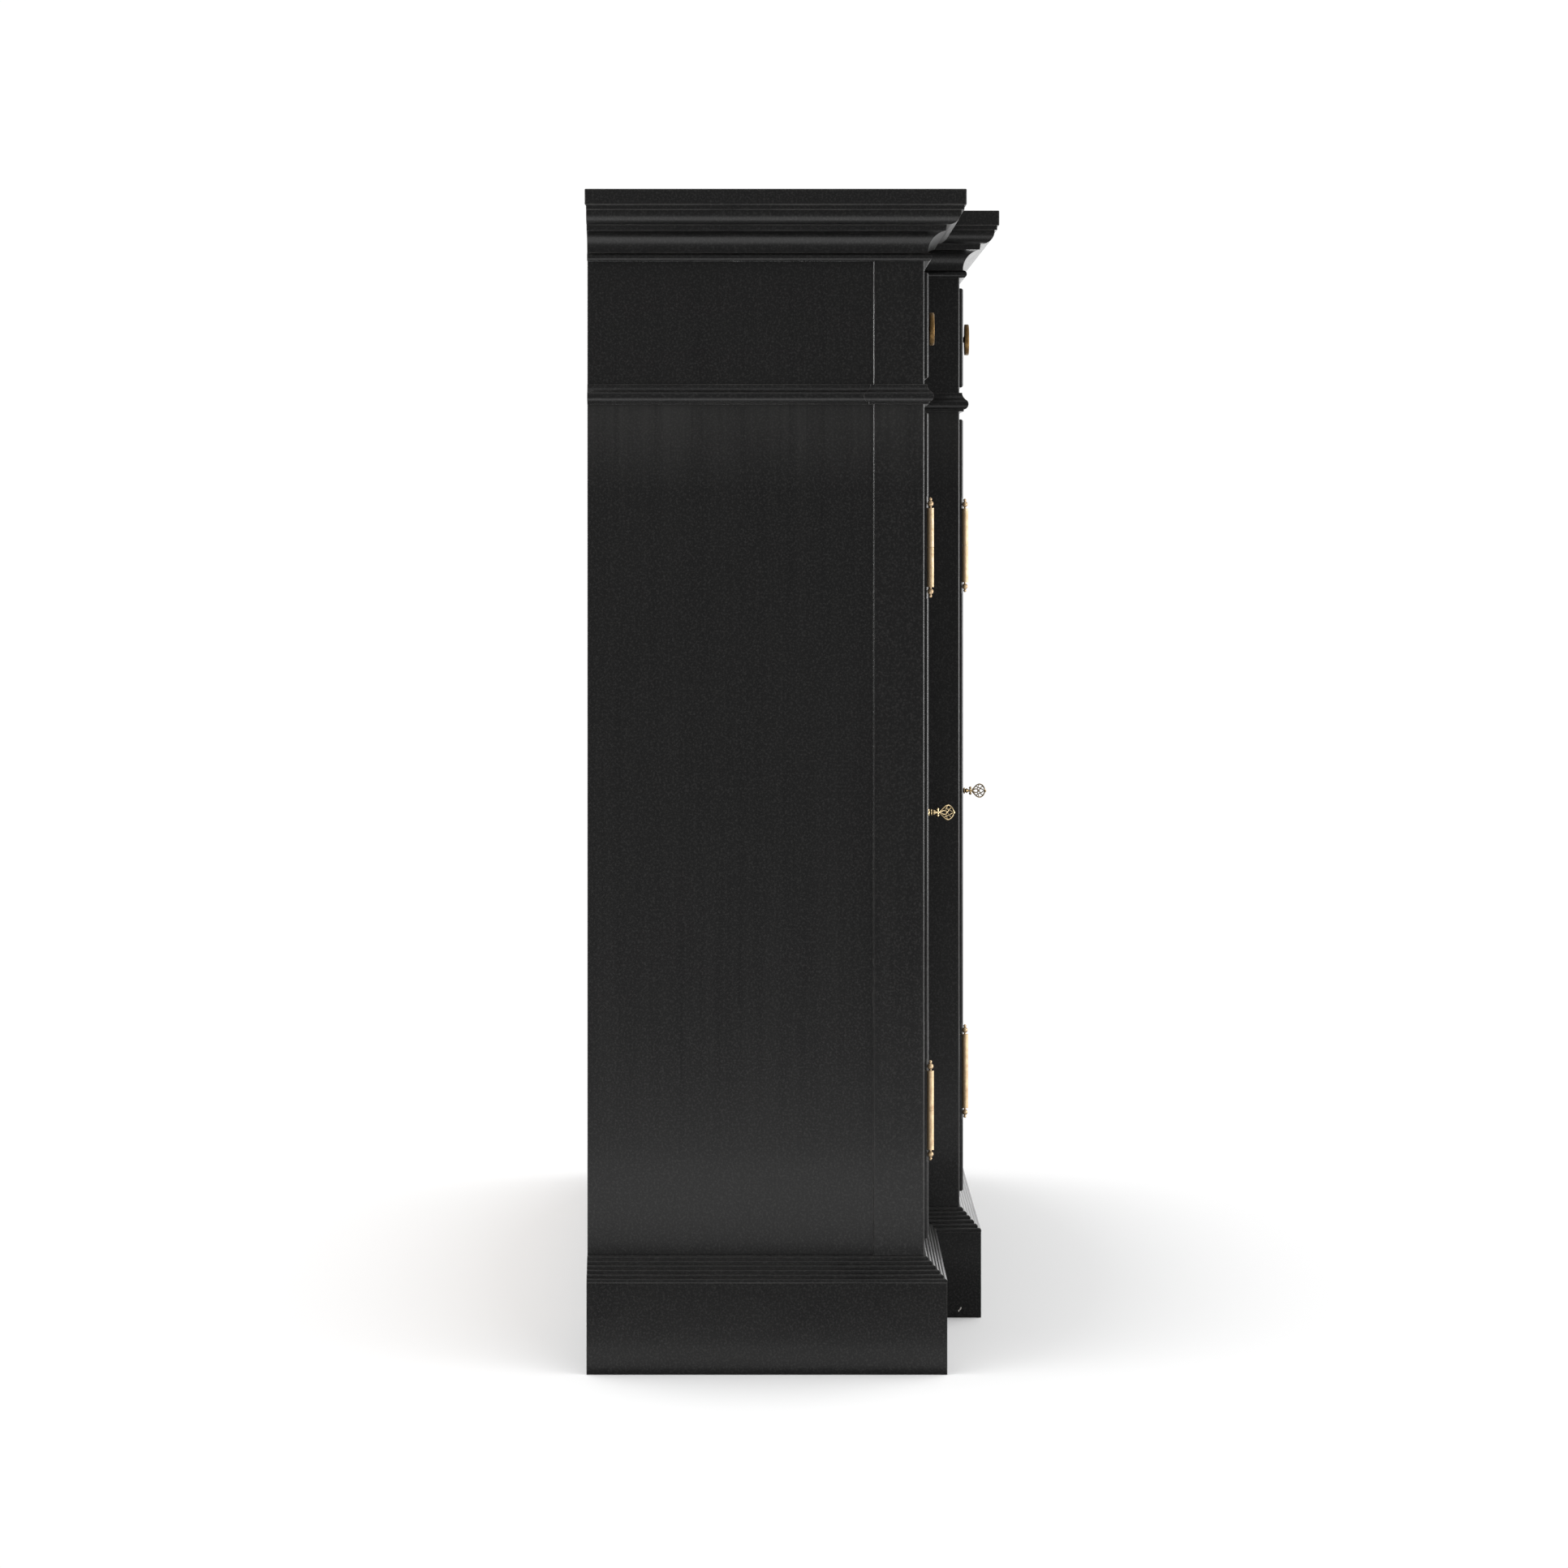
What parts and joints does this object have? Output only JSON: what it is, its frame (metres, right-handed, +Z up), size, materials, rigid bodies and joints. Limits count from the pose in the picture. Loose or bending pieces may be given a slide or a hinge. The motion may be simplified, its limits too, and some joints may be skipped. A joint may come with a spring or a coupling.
{
  "type": "apothecary cabinet",
  "caption": "Breakfront apothecary cabinet of painted wood: panelled doors below drawers, under a moulded cornice, with brass hinges, knobs and keys.",
  "frame": {"origin": "on the floor, under the middle of the cabinet's overall box", "axes": "+X to the right as seen from the front, +Z up, and the front faces -Y"},
  "size_m": [2, 0.4824, 1.32],
  "materials": {
    "black_paint": "satin black paint over wood, lightly rubbed",
    "inside_wood": "waxed bare wood",
    "brass": "satin antique brass",
    "aged_brass": "dark aged brass",
    "steel": "plain steel"
  },
  "bodies": {
    "root": {"back_panels": "inside_wood", "base_moulding": "black_paint", "bottom_boards": "inside_wood", "center_posts": "black_paint", "center_shelf": "inside_wood", "corner_posts": "black_paint", "cornice_moulding": "black_paint", "divider_boards": "inside_wood", "drawer_guides": "inside_wood", "face_rails": "black_paint", "face_stiles": "black_paint", "hinge_frame_leaves": "brass", "left_shelf": "inside_wood", "magnet_catch": "steel", "moulding_grounds": "black_paint", "partitions": "inside_wood", "plinth_frame": "black_paint", "right_shelf": "inside_wood", "shelf_pins": "steel", "side_panels": "black_paint", "strike_plates": "brass", "top_board": "black_paint", "waist_moulding": "black_paint"},
    "left_door": {"left_door_frame": "black_paint", "left_door_panel": "black_paint", "left_door_hinge_leaves": "brass", "left_lock": "brass"},
    "center_left_door": {"center_left_door_frame": "black_paint", "center_left_door_panel": "black_paint", "center_left_door_hinge_leaves": "brass", "center_lock": "brass"},
    "center_right_door": {"center_right_door_frame": "black_paint", "center_right_door_panel": "black_paint", "center_right_door_hinge_leaves": "brass", "center_door_plates": "brass"},
    "right_door": {"right_door_frame": "black_paint", "right_door_panel": "black_paint", "right_door_hinge_leaves": "brass", "right_lock": "brass"},
    "left_key": {"left_key": "brass"},
    "left_bolt": {"left_lock_bolt": "steel"},
    "center_key": {"center_key": "brass"},
    "center_bolt": {"center_lock_bolt": "steel"},
    "right_key": {"right_key": "brass"},
    "right_bolt": {"right_lock_bolt": "steel"},
    "left_drawer": {"left_drawer_front": "black_paint", "left_drawer_box": "inside_wood", "left_drawer_knob": "aged_brass"},
    "center_left_drawer": {"center_left_drawer_front": "black_paint", "center_left_drawer_box": "inside_wood", "center_left_drawer_knob": "aged_brass"},
    "center_middle_drawer": {"center_middle_drawer_front": "black_paint", "center_middle_drawer_box": "inside_wood", "center_middle_drawer_knob": "aged_brass"},
    "center_right_drawer": {"center_right_drawer_front": "black_paint", "center_right_drawer_box": "inside_wood", "center_right_drawer_knob": "aged_brass"},
    "right_drawer": {"right_drawer_front": "black_paint", "right_drawer_box": "inside_wood", "right_drawer_knob": "aged_brass"}
  },
  "joints": [
    {"name": "left_door_hinge", "type": "hinge", "parent": "root", "child": "left_door", "pos_m": [-0.9074, -0.14525, 0.6043], "axis": [0, 0, -1], "range_deg": [0, 110]},
    {"name": "center_left_door_hinge", "type": "hinge", "parent": "root", "child": "center_left_door", "pos_m": [-0.4574, -0.19925, 0.6043], "axis": [0, 0, -1], "range_deg": [0, 110]},
    {"name": "center_right_door_hinge", "type": "hinge", "parent": "root", "child": "center_right_door", "pos_m": [0.4574, -0.19925, 0.6043], "axis": [0, 0, 1], "range_deg": [0, 110]},
    {"name": "right_door_hinge", "type": "hinge", "parent": "root", "child": "right_door", "pos_m": [0.9074, -0.14525, 0.6043], "axis": [0, 0, 1], "range_deg": [0, 110]},
    {"name": "left_key_turn", "type": "hinge", "parent": "left_door", "child": "left_key", "pos_m": [-0.5585, -0.14325, 0.6043], "axis": [0, 1, 0], "range_deg": [0, 90]},
    {"name": "left_bolt_slide", "type": "slide", "parent": "left_door", "child": "left_bolt", "axis": [1, 0, 0], "range_m": [0, 0.008]},
    {"name": "center_key_turn", "type": "hinge", "parent": "center_left_door", "child": "center_key", "pos_m": [-0.02825, -0.19725, 0.6043], "axis": [0, 1, 0], "range_deg": [0, 90]},
    {"name": "center_bolt_slide", "type": "slide", "parent": "center_left_door", "child": "center_bolt", "axis": [1, 0, 0], "range_m": [0, 0.008]},
    {"name": "right_key_turn", "type": "hinge", "parent": "right_door", "child": "right_key", "pos_m": [0.5585, -0.14325, 0.6043], "axis": [0, -1, 0], "range_deg": [0, 90]},
    {"name": "right_bolt_slide", "type": "slide", "parent": "right_door", "child": "right_bolt", "axis": [-1, 0, 0], "range_m": [0, 0.008]},
    {"name": "left_drawer_slide", "type": "slide", "parent": "root", "child": "left_drawer", "axis": [0, -1, 0], "range_m": [0, 0.26]},
    {"name": "center_left_drawer_slide", "type": "slide", "parent": "root", "child": "center_left_drawer", "axis": [0, -1, 0], "range_m": [0, 0.31]},
    {"name": "center_middle_drawer_slide", "type": "slide", "parent": "root", "child": "center_middle_drawer", "axis": [0, -1, 0], "range_m": [0, 0.31]},
    {"name": "center_right_drawer_slide", "type": "slide", "parent": "root", "child": "center_right_drawer", "axis": [0, -1, 0], "range_m": [0, 0.31]},
    {"name": "right_drawer_slide", "type": "slide", "parent": "root", "child": "right_drawer", "axis": [0, -1, 0], "range_m": [0, 0.26]}
  ],
  "couplings": [
    {"joint": "left_bolt_slide", "follows": "left_key_turn", "m_per_rad": 0.005092},
    {"joint": "center_bolt_slide", "follows": "center_key_turn", "m_per_rad": 0.005092},
    {"joint": "right_bolt_slide", "follows": "right_key_turn", "m_per_rad": 0.005092}
  ]
}
